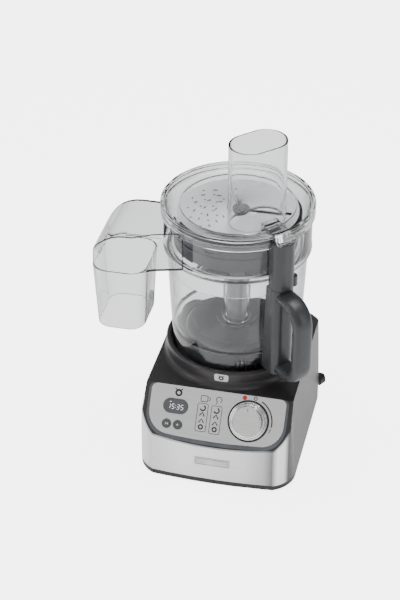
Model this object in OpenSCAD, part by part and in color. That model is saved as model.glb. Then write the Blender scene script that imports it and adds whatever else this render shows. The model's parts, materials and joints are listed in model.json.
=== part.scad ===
// Food processor with a clear bowl, a serving collar with a side chute, a lid
// with a feed tube and a weighing motor base. The drive axis is Z, the table is
// at z = 0 and the controls face -Y.

/* [Base] */
// Width of the base at its widest point
base_w = 212; // [212:1:216]
// Drive axis to the middle of the front face
base_front = 150; // [149:0.5:151]
// Drive axis to the back face
base_back = 106; // [104:1:108]
// Radius of the upright corners
corner_r = 42; // [38:1:46]
// Height of the shoulder where the sides end
shoulder_z = 125; // [124:1:126]
// Half of the width across the shoulder
shoulder_half = 99; // [98:0.5:100]
// Wall thickness of the motor housing
wall = 3; // [2.5:0.5:3.5]

/* [Control panel] */
// Angle of the control panel above the horizontal
panel_tilt = 55; // [54:1:56]
// Width of the steel control plate
panel_w = 182; // [180:1:188]
// Length of the control plate up its slope
panel_len = 68; // [66:1:69]
// Distance from the middle of the plate to the speed knob
knob_x = 43.4; // [42:0.2:45]
// Radius of the black ring around the knob
knob_ring_r = 27.8; // [27:0.2:28.4]
// Height of the knob above the plate
knob_h = 17; // [15:0.5:19]
// Radius of the two push buttons
button_r = 6; // [5.5:0.5:6.5]

/* [Bowl] */
// Height of the bowl floor
floor_z = 171; // [170:0.5:172]
// Outer radius of the bowl at the seat
bowl_seat_r = 85.4; // [85:0.1:86]
// Outer radius of the bowl at its rim
bowl_rim_r = 93.3; // [93:0.1:93.6]
// Height of the bowl rim
rim_z = 291.5; // [291:0.5:292]
// Wall thickness of the clear plastic
clear_wall = 2.4; // [2.2:0.1:2.6]
// Direction of the handle, seen from above
handle_angle = -45; // [-48:1:-42]
// Reach of the handle from the drive axis
handle_reach = 161; // [158:1:164]

/* [Collar and chute] */
// Outer radius of the collar
collar_r = 98.2; // [98:0.1:98.4]
// Height of the top edge of the collar
collar_z = 349; // [348:0.5:349]
// Far side of the chute from the drive axis
chute_far = 174; // [170:1:178]
// Front side of the chute from the drive axis
chute_front = 106; // [104:1:108]
// Back side of the chute from the drive axis
chute_back = 12; // [10:1:14]
// Radius of the chute roof
chute_roof_r = 50; // [48:1:52]
// Height of the lower end of the chute extension
chute_low_z = 203; // [200:1:210]

/* [Lid and feed tube] */
// Outer radius of the lid
lid_r = 101.2; // [101:0.1:101.6]
// Height of the lid rim
lid_z = 359; // [358:0.5:360]
// Height of the top of the feed tube
tube_top_z = 465; // [455:1:475]
// Longer width of the feed tube
tube_long = 79; // [77:1:80]
// Shorter width of the feed tube
tube_short = 54; // [52:1:55]
// Drive axis to the middle of the feed tube
tube_reach = 44; // [43:0.5:45]

/* [Drive] */
// Drive axis to the motor axis
motor_reach = 74; // [72:1:76]
// Radius of the large belt pulley
pulley_r = 52; // [50:1:54]
// Radius of the motor's belt pulley
small_pulley_r = 9; // [8:0.5:10]
// Radius of the slicing disc
disc_r = 79; // [77:0.5:80]
// Radius of the slinger drum
drum_r = 84; // [83:0.5:85]

/* [Hidden] */
$fn = 96;

big = 400;
fit_gap = 0.3;        // gap between parts that lift apart
run_gap = 0.05;       // radial gap of a running fit
foot_h = 3;
pan_z = 10;           // top of the pan, where the housing starts
bow_r = 787;          // plan radius of the bowed front
edge_lap = 0.4;       // keeps leaning faces clear of upright ones at the foot
sheet = 1.2;          // steel sheet of the front wrap
plate_t = 1.5;        // control plate thickness
wrap_end_y = -116;    // where the wrap ends on each side
panel_y0 = -144.5;    // lower edge of the panel plane
panel_z0 = 69.4;
panel_low_r = 30;     // lower corner radius of the control plate
panel_top_r = 8;      // upper corner radius
knob_s = 34;          // places up the panel's slope
display_x = -56;
display_s = 40.5;
button_s = 16.2;
button_xs = [-65.4, -50.2];
board_z = -10;        // control board behind the panel face
lip_in = 87.2;        // lip around the bowl
lip_out = 95;
lip_z = 148;
seat_z = 129;         // floor that the bowl stands on
hub_r = 70;
hub_z = 164;
cap_r = 56;
cap_z = 169;
spindle_r = 6;
spindle_top_z = 215;
bearing_r = 11;
belt_z = 12;          // lower face of both pulleys
belt_h = 10;
chassis_z = 84;
chassis_t = 3;
motor_can_r = 40;
post_xy = [[-62, -96], [62, -96], [-62, 60], [62, 60]];
cell_xy = [[-66, -100], [66, -100], [-66, 74], [66, 74]];
tube_hole_r = 15;     // centre tube of the bowl
centre_tube_r = 17;
shaft_r = 13;
floor_t = 3;
skirt_z = 264;        // lower end of the collar's skirt
collar_floor_z = 294.6;
drum_z = 299;
drum_h = 39;
drum_t = 2.6;
drum_window = 40;     // angle of each window in the drum wall
disc_z = 342.6;
disc_t = 0.9;
plate_z = 349.6;      // underside of the lid plate
plate_r = 74.6;
handle_w = 32;
grip_w = 29;
spine_r = 115;        // outer face of the handle spine
spine_z = 282.6;
column_r = 117;
column_z = 283;
chute_wall = 2.4;
hood_low_z = 293;
hood_roof_z = 349;
ext_top_z = 292.5;
ext_in_x = 100;       // near side of the chute extension

// ---- shared shapes -------------------------------------------------------------

// Points along an arc about c, in flat steps
function arc(c, r, a0, a1, steps = 8) =
  [for (i = [0:steps]) let (a = a0 + (a1 - a0) * i / steps) c + r * [cos(a), sin(a)]];

module rounded_rect(x0, x1, y0, y1, r) {
  translate([x0 + r, y0]) square([x1 - x0 - 2 * r, y1 - y0]);
  translate([x0, y0 + r]) square([x1 - x0, y1 - y0 - 2 * r]);
  for (x = [x0 + r, x1 - r], y = [y0 + r, y1 - r]) translate([x, y]) circle(r);
}

module obround(long, short) {
  square([long - short, short], center = true);
  for (side = [-1, 1]) translate([side * (long - short) / 2, 0]) circle(d = short);
}

module ring(r_out, r_in, z, h) {
  translate([0, 0, z]) difference() {
    cylinder(r = r_out, h = h);
    translate([0, 0, -1]) cylinder(r = r_in, h = h + 2);
  }
}

module panel_frame() {
  translate([0, panel_y0, panel_z0]) rotate([panel_tilt, 0, 0]) children();
}

module handle_frame() {
  rotate([0, 0, handle_angle]) children();
}

// Plan of the base: a rounded box with a bowed front
module body_plan(inset) {
  intersection() {
    rounded_rect(-base_w / 2 + inset, base_w / 2 - inset, -base_front + inset, base_back - inset,
      corner_r - inset);
    translate([0, bow_r - base_front]) circle(r = bow_r - inset, $fn = 360);
  }
}

// A slice of the base between two heights, with sides that lean in towards the shoulder
module body_slab(inset, z0, z1) {
  half = base_w / 2 + edge_lap - inset;
  lean = (base_w / 2 - shoulder_half) / (shoulder_z - pan_z);
  intersection() {
    translate([0, 0, z0]) linear_extrude(z1 - z0) body_plan(inset);
    translate([0, big / 2, 0]) rotate([90, 0, 0]) linear_extrude(big)
      polygon([[-half + (z0 - pan_z) * lean, z0], [half - (z0 - pan_z) * lean, z0],
        [half - (z1 - pan_z) * lean, z1], [-half + (z1 - pan_z) * lean, z1]]);
  }
}

// The base as a solid block: its walls moved in by inset, its top and panel by drop
module body_core(inset, drop, z0) {
  top = shoulder_z - drop;
  back = base_back + edge_lap - inset;
  difference() {
    intersection() {
      body_slab(inset, z0, top);
      translate([-big / 2, 0, 0]) rotate([90, 0, 90]) linear_extrude(big)
        polygon([[-big, z0], [back, z0], [back - 5, top], [-big, top]]);
    }
    panel_frame() translate([-big / 2, -big / 2, -drop]) cube([big, big, big / 2]);
  }
}

// Outline of the control plate, grown to the sides and below; its lower edge follows the bow
module panel_outline(side, below) {
  half = panel_w / 2 + side;
  r = panel_low_r + side;
  rise = pow(half - r, 2) / (2 * bow_r);
  polygon(concat([for (t = [-0.8:0.4:0.8]) [t * (half - r), t * t * rise - below]],
    arc([half - r, rise - below + r], r, 270, 360),
    arc([half - panel_top_r, panel_len - panel_top_r], panel_top_r, 0, 90),
    arc([panel_top_r - half, panel_len - panel_top_r], panel_top_r, 90, 180),
    arc([r - half, rise - below + r], r, 180, 270)));
}

// ---- base ----------------------------------------------------------------------

module foot_ring() {
  color("#1b1b1c") difference() {
    body_slab(3, 0, foot_h);
    body_slab(15, -1, foot_h + 1);
  }
}

module base_pan() {
  color("#232325") difference() {
    body_slab(0, foot_h, pan_z);
    body_slab(wall, foot_h + 3, pan_z + 1);
    for (x = [-60:10:60]) translate([x, 22, 0]) cube([4, 44, foot_h + 4]);
    for (p = cell_xy) translate([p[0], p[1], 0]) cylinder(r = 2.2, h = pan_z);
    for (p = cell_xy) translate([p[0], p[1], foot_h - 1]) cylinder(r = 4.2, h = 3.3);
    inlet_frame() cylinder(r = 8.2, h = 30, center = true);
  }
}

module panel_pocket() {
  panel_frame() translate([0, 0, -plate_t]) linear_extrude(20) panel_outline(3.5, 5.5);
}

module bowl_lip() {
  intersection() {
    rotate_extrude() {
      translate([lip_in, shoulder_z - wall]) square([lip_out - lip_in, lip_z - shoulder_z - 1]);
      translate([(lip_in + lip_out) / 2, lip_z - 3.9]) circle(r = (lip_out - lip_in) / 2);
      difference() {
        translate([lip_out - 0.1, shoulder_z - 1]) square([9.1, 10]);
        translate([lip_out + 9, shoulder_z + 9]) circle(r = 9);
      }
    }
    translate([1 - shoulder_half, -big / 2, 0]) cube([2 * shoulder_half - 2, big, lip_z]);
  }
}

module vent_slots() {
  for (x = [-48:8:48]) translate([x - 1.5, base_back - 14, 34]) cube([3, 20, 42]);
}

// The cord leaves through the rear right corner
module inlet_frame() {
  translate([66, 64, 24]) rotate([0, 0, 30]) translate([corner_r - 2, 0, 0]) rotate([0, 90, 0])
    children();
}

module base_housing() {
  color("#3b3a3d") difference() {
    union() {
      difference() {
        body_core(0, 0, pan_z);
        body_core(wall, wall, pan_z - 1);
      }
      difference() {
        union() {
          bowl_lip();
          translate([0, 0, shoulder_z - wall]) cylinder(r = lip_in + 2, h = seat_z - shoulder_z + wall);
        }
        translate([0, 0, seat_z]) cylinder(r = lip_in, h = 40);
      }
    }
    translate([0, 0, 100]) cylinder(r = hub_r - 4, h = 60);
    difference() {
      translate([-big / 2, -big, 0]) cube([big, big + wrap_end_y, shoulder_z]);
      body_core(sheet, -1, pan_z - 1);
    }
    panel_pocket();
    panel_frame() {
      translate([0, 0, -2 * wall]) linear_extrude(20) translate([display_x, display_s])
        obround(32, 18);
      for (x = button_xs) translate([x, button_s, -2 * wall]) cylinder(r = button_r + 0.4, h = 20);
      translate([knob_x, knob_s, -2 * wall]) cylinder(r = 4, h = 20);
    }
    vent_slots();
    inlet_frame() cylinder(r = 8.2, h = 30, center = true);
  }
}

// The steel sheet wrapped round the front and its two corners
module front_wrap() {
  color("#c9cacc") difference() {
    body_core(0, 0, pan_z);
    body_core(sheet, -1, pan_z - 1);
    translate([-big / 2, wrap_end_y, 0]) cube([big, big, shoulder_z + 1]);
    panel_pocket();
  }
}

module panel_trim() {
  color("#5a5d61") panel_frame() translate([0, 0, -plate_t]) linear_extrude(plate_t) difference() {
    panel_outline(3.5, 5.5);
    panel_outline(0, 0);
  }
}

module control_panel() {
  color("#c4c5c7") panel_frame() translate([0, 0, -plate_t]) linear_extrude(plate_t) difference() {
    panel_outline(0, 0);
    translate([display_x, display_s]) obround(34.2, 20.2);
    for (x = button_xs) translate([x, button_s]) circle(r = button_r + 0.3);
    translate([knob_x, knob_s]) circle(r = 4);
  }
}

module display_window() {
  color("#55575b") panel_frame() translate([display_x, display_s, -1.2]) linear_extrude(1.7)
    obround(34, 20);
}

module display_module() {
  color("#26282b") panel_frame() translate([display_x - 12, display_s - 6.5, board_z + 1.6])
    cube([24, 13, 5.4]);
}

module control_board() {
  color("#2f6b45") panel_frame() translate([0, 0, board_z]) linear_extrude(1.6) difference() {
    translate([-84, 4]) square([150, 52]);
    translate([knob_x, knob_s]) circle(r = 2);
  }
}

module rotary_encoder() {
  color("#8b8d90") panel_frame() translate([knob_x, knob_s, board_z + 1.6]) difference() {
    translate([-8, -8, 0]) cube([16, 16, 5]);
    translate([0, 0, 1]) cylinder(r = 3 + run_gap, h = 6);
  }
}

module knob_ring() {
  color("#1a1a1b") panel_frame() translate([knob_x, knob_s, 0]) ring(knob_ring_r, 25.4, 0, 1.3);
}

module speed_knob() {
  color("#d5d6d8") panel_frame() translate([knob_x, knob_s, 0]) {
    difference() {
      union() {
        translate([0, 0, 0.6]) cylinder(r = 25, h = 3.4);
        translate([0, 0, 4]) cylinder(r1 = 24.2, r2 = 22.6, h = 5);
        translate([0, 0, 9]) cylinder(r1 = 21.6, r2 = 19.6, h = knob_h - 9);
      }
      translate([0, 0, knob_h - 1]) cylinder(r = 18, h = 3);
    }
    translate([0, 0, board_z + 3]) cylinder(r = 3, h = 8);
  }
}

module knob_face() {
  color("#dcdcda") panel_frame() translate([knob_x, knob_s, knob_h - 1]) cylinder(r = 17.7, h = 1.4);
}

module push_button(i) {
  color("#515357") panel_frame() translate([button_xs[i], button_s, 0]) {
    translate([0, 0, -1.6]) cylinder(r = button_r, h = 2.6);
    translate([0, 0, -6.6]) cylinder(r = 2, h = 5);
  }
}

module button_left() { push_button(0); }
module button_right() { push_button(1); }

module blank_plate() {
  color("#d3d4d6") intersection() {
    difference() {
      body_core(-0.8, 0, pan_z);
      body_core(0, -1, pan_z - 1);
    }
    translate([-24, -big / 2, 33]) cube([48, big / 2, 12]);
  }
}

// A shield-shaped label on the front of the lip
module weigh_tag() {
  color("#e4e4e4") intersection() {
    ring(lip_out + 0.7, lip_out, shoulder_z, lip_z);
    translate([0, -lip_out + 20, 0]) rotate([90, 0, 0]) linear_extrude(40)
      rounded_rect(-9.5, 9.5, shoulder_z + 9, lip_z - 3, 3);
  }
}

// ---- hub in the base -------------------------------------------------------------

module hub_drum() {
  color("#4b4e55") difference() {
    union() {
      translate([0, 0, shoulder_z]) cylinder(r = hub_r - 4.2, h = 5);
      translate([0, 0, seat_z]) cylinder(r = hub_r, h = hub_z - seat_z - 4);
      translate([0, 0, hub_z - 4]) cylinder(r1 = hub_r, r2 = hub_r - 4, h = 4);
    }
    translate([0, 0, shoulder_z - 1]) cylinder(r = hub_r - 8, h = hub_z - shoulder_z - 2);
    translate([0, 0, hub_z - 6]) cylinder(r = 12, h = 10);
    for (a = [60:120:300]) rotate([0, 0, a]) translate([hub_r - 3, -9, seat_z + 4]) cube([6, 18, 10]);
  }
}

module hub_cap() {
  color("#565960") difference() {
    union() {
      translate([0, 0, hub_z]) cylinder(r = cap_r, h = cap_z - hub_z);
      translate([0, 0, cap_z]) cylinder(r1 = 13.5, r2 = 11, h = 8);
    }
    translate([0, 0, hub_z - 1]) cylinder(r = spindle_r + 1.5, h = 20);
  }
}

// Ribbed black block beside the hub that holds the bowl's safety switch
module interlock_block() {
  color("#161617") rotate([0, 0, -68]) difference() {
    translate([hub_r + 1, -13, seat_z]) cube([9.5, 26, 22]);
    for (y = [-9:6:9]) translate([hub_r + 8, y - 1.5, seat_z + 3]) cube([4, 3, 22]);
  }
}

// ---- drive train -------------------------------------------------------------------

module chassis() {
  color("#9fa2a6") difference() {
    union() {
      translate([0, 0, chassis_z]) linear_extrude(chassis_t) rounded_rect(-74, 74, -112, 76, 10);
      for (p = post_xy) translate([p[0], p[1], chassis_z]) cylinder(r = 6, h = shoulder_z - wall - chassis_z);
    }
    translate([0, 0, chassis_z - 1]) cylinder(r = 18, h = 10);
    translate([0, -motor_reach, chassis_z - 1]) cylinder(r = 34, h = 10);
    for (p = post_xy) translate([p[0], p[1], chassis_z - 1]) cylinder(r = 2, h = 30);
    panel_frame() translate([-big / 2, -big / 2, board_z - 1]) cube([big, big, big / 2]);
  }
}

module spindle_housing() {
  color("#8f9296") difference() {
    translate([0, 0, 30]) cylinder(r = 18, h = shoulder_z - 34);
    translate([0, 0, 29]) cylinder(r = bearing_r, h = 120);
  }
}

module bearing(z) {
  ring(bearing_r, spindle_r + run_gap, z, 8);
}

module lower_bearing() { color("#b9bbbe") bearing(31); }
module upper_bearing() { color("#b9bbbe") bearing(110); }

module drive_spindle() {
  color("#c3c5c8") {
    translate([0, 0, 9]) cylinder(r = spindle_r, h = spindle_top_z - 9 - 3);
    translate([0, 0, spindle_top_z - 3]) cylinder(r1 = spindle_r, r2 = 3, h = 3);
  }
}

module belt_pulley(r, bore) {
  difference() {
    union() {
      cylinder(r = r, h = belt_h);
      for (z = [0, belt_h - 1.5]) translate([0, 0, z]) cylinder(r = r + 2, h = 1.5);
    }
    translate([0, 0, -1]) cylinder(r = bore, h = belt_h + 2);
  }
}

module drive_pulley() {
  color("#3a3b3d") translate([0, 0, belt_z]) difference() {
    belt_pulley(pulley_r, spindle_r);
    for (a = [0:60:300]) rotate([0, 0, a]) translate([28, 0, -1]) cylinder(r = 10, h = belt_h + 2);
  }
}

module motor_pulley() {
  color("#b0b2b5") translate([0, -motor_reach, belt_z]) belt_pulley(small_pulley_r, 4);
}

// The belt's outline: two circles and the strip between their common tangents
module belt_loop(grow) {
  lean = asin((pulley_r - small_pulley_r) / motor_reach);
  big_r = pulley_r + grow;
  small_r = small_pulley_r + grow;
  circle(r = big_r);
  translate([0, -motor_reach]) circle(r = small_r);
  polygon([[big_r * cos(lean), -big_r * sin(lean)],
    [small_r * cos(lean), -motor_reach - small_r * sin(lean)],
    [-small_r * cos(lean), -motor_reach - small_r * sin(lean)],
    [-big_r * cos(lean), -big_r * sin(lean)]]);
}

module drive_belt() {
  color("#19191a") translate([0, 0, belt_z + 2]) linear_extrude(belt_h - 4) difference() {
    belt_loop(1.8);
    belt_loop(0.1);
  }
}

module at_motor() { translate([0, -motor_reach, 0]) children(); }

module motor_can() {
  color("#aaadb1") at_motor() difference() {
    union() {
      translate([0, 0, 26]) cylinder(r = motor_can_r, h = chassis_z - 26);
      translate([0, 0, chassis_z - 2]) cylinder(r = motor_can_r + 3, h = 2);
    }
    translate([0, 0, 28]) cylinder(r = motor_can_r - 1.6, h = 80);
    translate([0, 0, 20]) cylinder(r = 4 + run_gap, h = 20);
    for (a = [0:45:315]) rotate([0, 0, a]) translate([motor_can_r - 8, -4, 30]) cube([14, 8, 6]);
  }
}

module motor_stator() {
  color("#7d7f83") at_motor() ring(motor_can_r - 1.6, 24, 38, 34);
}

module motor_armature() {
  color("#a9713d") at_motor() {
    translate([0, 0, 36]) cylinder(r = 23, h = 38);
    translate([0, 0, belt_z - 1]) cylinder(r = 4, h = chassis_z - belt_z);
  }
}

module motor_fan() {
  color("#2b2c2e") at_motor() difference() {
    union() {
      ring(12, 4, 75.5, 6);
      ring(30, 11, 75.5, 1.5);
      for (a = [0:30:330]) rotate([0, 0, a]) translate([11, -0.8, 75.5]) cube([18, 1.6, 6]);
    }
    translate([0, 0, 70]) cylinder(r = 4, h = 20);
  }
}

module power_board() {
  color("#2f6b45") {
    translate([-58, 88, 12]) cube([116, 1.6, 60]);
    for (x = [-40, -14]) translate([x, 74, 52]) rotate([-90, 0, 0]) cylinder(r = 9, h = 14);
    translate([14, 72, 36]) cube([30, 16, 26]);
  }
}

module load_cells() {
  color("#c0c2c5") for (p = cell_xy) translate([p[0], p[1], 0]) difference() {
    translate([-17, -7, foot_h + 3]) cube([34, 14, 6]);
    for (x = [-9, 9]) translate([x, -8, foot_h + 6]) rotate([-90, 0, 0]) cylinder(r = 2, h = 16);
    translate([0, 0, foot_h]) cylinder(r = 2, h = 12);
  }
}

module cord_inlet() {
  color("#161617") inlet_frame() difference() {
    union() {
      translate([0, 0, -6]) cylinder(r = 8, h = 9);
      translate([0, 0, 2.4]) cylinder(r1 = 10, r2 = 6.5, h = 9);
    }
    translate([0, 0, -10]) cylinder(r = 3.6, h = 40);
  }
}

module pan_screws() {
  color("#9a9ca0") for (p = cell_xy) translate([p[0], p[1], foot_h + 0.3]) {
    cylinder(r = 3.8, h = 2);
    translate([0, 0, 2]) cylinder(r = 1.95, h = 6);
  }
}

module chassis_screws() {
  color("#9a9ca0") for (p = post_xy) translate([p[0], p[1], chassis_z - 2.5]) {
    cylinder(r = 4, h = 2.5);
    translate([0, 0, 2.5]) cylinder(r = 1.95, h = 18);
  }
}

// ---- bowl ------------------------------------------------------------------------

function bowl_r(z) = z < lip_z
  ? bowl_seat_r + 0.6 * (z - 131) / (lip_z - 131)
  : bowl_seat_r + 0.6 + (bowl_rim_r - bowl_seat_r - 0.6) * pow((z - lip_z) / (rim_z - lip_z), 0.9);

bowl_steps = [131, lip_z, 180, 220, skirt_z, rim_z - 3];

module bowl() {
  color("#dfe6ea", 0.35) {
    rotate_extrude() {
      polygon(concat(
        [for (z = bowl_steps) [bowl_r(z), z]],
        [[96.6, rim_z - 2.6], [96.6, rim_z]],
        [for (i = [len(bowl_steps) - 1:-1:0])
          [bowl_r(bowl_steps[i]) - clear_wall, i == len(bowl_steps) - 1 ? rim_z : bowl_steps[i]]]));
      polygon([[tube_hole_r, floor_z], [bowl_r(floor_z) - 1, floor_z],
        [bowl_r(floor_z) - 1, floor_z + floor_t], [25.5, floor_z + floor_t], [25.5, floor_z + 5],
        [19, floor_z + 6.5], [17.6, floor_z + 10], [centre_tube_r, floor_z + 16],
        [centre_tube_r, rim_z], [tube_hole_r, rim_z]]);
    }
    for (a = [30:120:270]) rotate([0, 0, a]) translate([bowl_seat_r - 5, -7, 133]) cube([4.2, 14, 5]);
  }
}

module bowl_envelope(grow) {
  rotate_extrude() polygon(concat([[0, 131]], [for (z = bowl_steps) [bowl_r(z) + grow, z]],
    [[0, rim_z - 3]]));
}

module bowl_handle() {
  color("#45484b") handle_frame() difference() {
    translate([0, 0, 150.5]) linear_extrude(spine_z - 150.5) union() {
      translate([80, -handle_w / 2]) square([spine_r - 80 - 11, handle_w]);
      rounded_rect(90, spine_r, -handle_w / 2, handle_w / 2, 11);
    }
    bowl_envelope(0);
  }
}

// The loop that the fingers close around
module handle_grip() {
  color("#45484b") handle_frame() translate([0, grip_w / 2, 0]) rotate([90, 0, 0])
    linear_extrude(grip_w) intersection() {
      difference() {
        rounded_rect(90, handle_reach, 151, 279, 30);
        rounded_rect(90, 144, 169, 262, 14);
      }
      translate([spine_r, 100]) square([100, 300]);
    }
}

// ---- collar and chute --------------------------------------------------------------

module collar_envelope() {
  translate([0, 0, column_z - 5]) cylinder(r = collar_r, h = collar_z - column_z + 15);
}

module collar() {
  color("#dfe6ea", 0.35) difference() {
    rotate_extrude() polygon([[bowl_r(skirt_z) - 5.2, skirt_z], [bowl_r(skirt_z) - 2.9, skirt_z],
      [bowl_rim_r - 3, rim_z + fit_gap], [collar_r, rim_z + fit_gap],
      [collar_r, collar_z], [collar_r - clear_wall, collar_z], [collar_r - clear_wall, collar_floor_z + 2.4],
      [19, collar_floor_z + 2.4], [19, collar_floor_z], [88, collar_floor_z],
      [88, rim_z + fit_gap]]);
    translate([-130, -100, collar_floor_z + 2.4]) cube([90, 84, 49]);
  }
}

module collar_column() {
  color("#45484b") handle_frame() difference() {
    union() {
      translate([0, 0, column_z]) linear_extrude(350 - column_z) union() {
        translate([88, -handle_w / 2]) square([column_r - 88 - 13, handle_w]);
        rounded_rect(90, column_r, -handle_w / 2, handle_w / 2, 13);
      }
      translate([108, handle_w / 2 - 2, column_z]) cylinder(r = 6, h = 14);
    }
    collar_envelope();
    translate([0, 0, 341]) cylinder(r = lid_r + fit_gap, h = 20);
  }
}

module chute_plan(inset) {
  front = -chute_front + inset;
  back = -chute_back - inset;
  corner = 25;
  x = -chute_far + corner;
  polygon(concat([[-40, back], [-40, -78 + inset], [-57, -83 + inset], [-92, -93 + inset], [-116, front]],
    arc([x, corner - chute_front], corner - inset, 270, 180),
    arc([x, -chute_back - corner], corner - inset, 180, 90)));
}

// Side view of the hood: an arched roof that ends in an upright wall
module chute_arch(inset) {
  x = -chute_far + chute_roof_r;
  r = chute_roof_r - inset;
  polygon(concat([[x + 100, 200], [x + 100, hood_roof_z - inset]],
    arc([x, hood_roof_z - chute_roof_r], r, 90, 180), [[x - r, 200]]));
}

module chute_body(inset, z0) {
  intersection() {
    translate([0, 0, z0]) linear_extrude(80) chute_plan(inset);
    translate([0, 50, 0]) rotate([90, 0, 0]) linear_extrude(200) chute_arch(inset);
  }
}

module chute_hood() {
  color("#dfe6ea", 0.35) difference() {
    union() {
      difference() {
        chute_body(0, hood_low_z);
        chute_body(chute_wall, hood_low_z - 5);
      }
      translate([0, 0, hood_low_z]) linear_extrude(chute_wall) intersection() {
        chute_plan(chute_wall / 2);
        translate([-ext_in_x, -big / 2]) square(big);
      }
    }
    collar_envelope();
    translate([0, 0, 341.5]) cylinder(r = lid_r + fit_gap, h = 20);
  }
}

module extension_block(inset, grow) {
  mid = [-(chute_far + ext_in_x) / 2, -(chute_front + chute_back + 3) / 2];
  half = [(chute_far - ext_in_x) / 2 - inset, (chute_front - chute_back - 3) / 2 - inset];
  translate([mid[0], mid[1], ext_top_z + grow]) mirror([0, 0, 1])
    linear_extrude(ext_top_z - chute_low_z + 2 * grow, scale = [0.86, 0.92], slices = 1)
      rounded_rect(-half[0], half[0], -half[1], half[1], 23 - inset, $fn = 32);
}

module chute_extension() {
  color("#dfe6ea", 0.35) difference() {
    union() {
      extension_block(0, 0);
      translate([-chute_far - 2.8, -62, ext_top_z - 4]) cube([3.2, 12, 12]);
    }
    extension_block(chute_wall, 0.5);
    translate([-chute_far - 0.4, -70, ext_top_z]) cube([10, 30, 20]);
  }
}

// ---- rotor -------------------------------------------------------------------------

module drive_shaft() {
  color("#8d9299") difference() {
    union() {
      translate([0, 0, 178.5]) cylinder(r = shaft_r, h = drum_z - 178.5);
      translate([0, 0, drum_z]) cylinder(r = 8, h = disc_z - drum_z + disc_t);
    }
    translate([0, 0, 170]) cylinder(r = spindle_r + run_gap, h = spindle_top_z - 168);
  }
}

module slinger_drum() {
  color("#4b4e55") difference() {
    union() {
      ring(drum_r, 8, drum_z, 2.4);
      ring(drum_r, drum_r - drum_t, drum_z, drum_h);
      ring(drum_r + 1.2, drum_r - 1, drum_z + drum_h * 0.47, 1.2);
      ring(16, 8, drum_z, drum_h);
      for (a = [45:90:315]) rotate([0, 0, a]) translate([15, -1, drum_z]) cube([drum_r - 17, 2, 12]);
    }
    for (a = [0, 180]) rotate([0, 0, a - drum_window / 2]) translate([0, 0, drum_z + 2.4])
      rotate_extrude(angle = drum_window) translate([60, 0]) square([40, drum_h]);
    for (a = [-104, 76]) rotate([0, 0, a]) translate([drum_r - 6, -7, drum_z + drum_h * 0.6])
      cube([10, 14, 3]);
  }
}

module slicing_disc() {
  color("#c8c9cb") translate([0, 0, disc_z]) difference() {
    cylinder(r = disc_r, h = disc_t);
    translate([0, 0, -1]) cylinder(r = 8, h = 3);
    translate([14, -1.5, -1]) cube([disc_r - 22, 7, 3]);
    for (a = [130:22:218], r = [34:16:66]) rotate([0, 0, a + r / 4]) translate([r, 0, -1])
      cylinder(r = 1.6, h = 3);
  }
}

module disc_hub() {
  color("#4b4e55") {
    translate([0, 0, disc_z + disc_t]) cylinder(r = 15, h = 3);
    translate([0, 0, disc_z + disc_t + 3]) cylinder(r1 = 9, r2 = 7, h = 1.8);
    ring(15, 8, disc_z - 3, 3);
  }
}

// ---- lid -----------------------------------------------------------------------------

module at_tube() {
  handle_frame() translate([tube_reach, 0, 0]) rotate([0, 0, 90]) children();
}

// Section of the lid's upper side, from its rim in to the drive axis
lid_top = [[lid_r, lid_z - 1], [lid_r - 1, lid_z], [lid_r - 4.4, lid_z], [lid_r - 6, lid_z - 1.2],
  [plate_r + 1, plate_z + clear_wall], [0, plate_z + clear_wall]];

module lid_profile() {
  rotate_extrude() polygon(concat([[0, plate_z], [76, plate_z], [95, lid_z - 3.6],
    [lid_r - clear_wall, lid_z - 3.6], [lid_r - clear_wall, 342], [lid_r, 342]], lid_top));
}

module lid() {
  color("#dfe6ea", 0.35) difference() {
    lid_profile();
    at_tube() translate([0, 0, plate_z - 1]) linear_extrude(10)
      obround(tube_long - 2 * clear_wall, tube_short - 2 * clear_wall);
  }
}

module feed_tube() {
  color("#dfe6ea", 0.35) at_tube() translate([0, 0, plate_z + clear_wall])
    linear_extrude(tube_top_z - plate_z - clear_wall) difference() {
      obround(tube_long, tube_short);
      obround(tube_long - 2 * clear_wall, tube_short - 2 * clear_wall);
    }
}

// The clear tongue that reaches from the lid over the handle column
module lid_tab() {
  tube_edge = tube_reach + tube_short / 2;
  color("#dfe6ea", 0.35) difference() {
    handle_frame() translate([0, 12, 0]) rotate([90, 0, 0]) linear_extrude(24)
      polygon([[tube_edge, plate_z + 2], [tube_edge, 364], [lid_r, lid_z + 2.5], [column_r - 3, 355.5],
        [column_r - 3, 350.4], [lid_r, 350.4]]);
    rotate_extrude() polygon(concat([[0, 342], [lid_r, 342]], lid_top));
    at_tube() translate([0, 0, 340]) linear_extrude(40) obround(tube_long, tube_short);
  }
}

foot_ring();
base_pan();
base_housing();
front_wrap();
panel_trim();
control_panel();
display_window();
display_module();
control_board();
rotary_encoder();
knob_ring();
speed_knob();
knob_face();
button_left();
button_right();
blank_plate();
weigh_tag();
hub_drum();
hub_cap();
interlock_block();
chassis();
spindle_housing();
lower_bearing();
upper_bearing();
drive_spindle();
drive_pulley();
drive_belt();
motor_can();
motor_stator();
motor_armature();
motor_pulley();
motor_fan();
power_board();
load_cells();
cord_inlet();
pan_screws();
chassis_screws();
bowl();
bowl_handle();
handle_grip();
collar();
collar_column();
chute_hood();
chute_extension();
drive_shaft();
slinger_drum();
slicing_disc();
disc_hub();
lid();
feed_tube();
lid_tab();
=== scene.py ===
# %% [markdown]
# # A food processor, from its motor base to its feed tube
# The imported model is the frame: it holds every part's size and place. Blender adds rounded edges,
# finishes and the small printed and moulded things. Everything is in metres, with Z up.

# %% Load the frame
import json
import math
import bmesh
import bpy
from mathutils import Matrix, Vector


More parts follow.
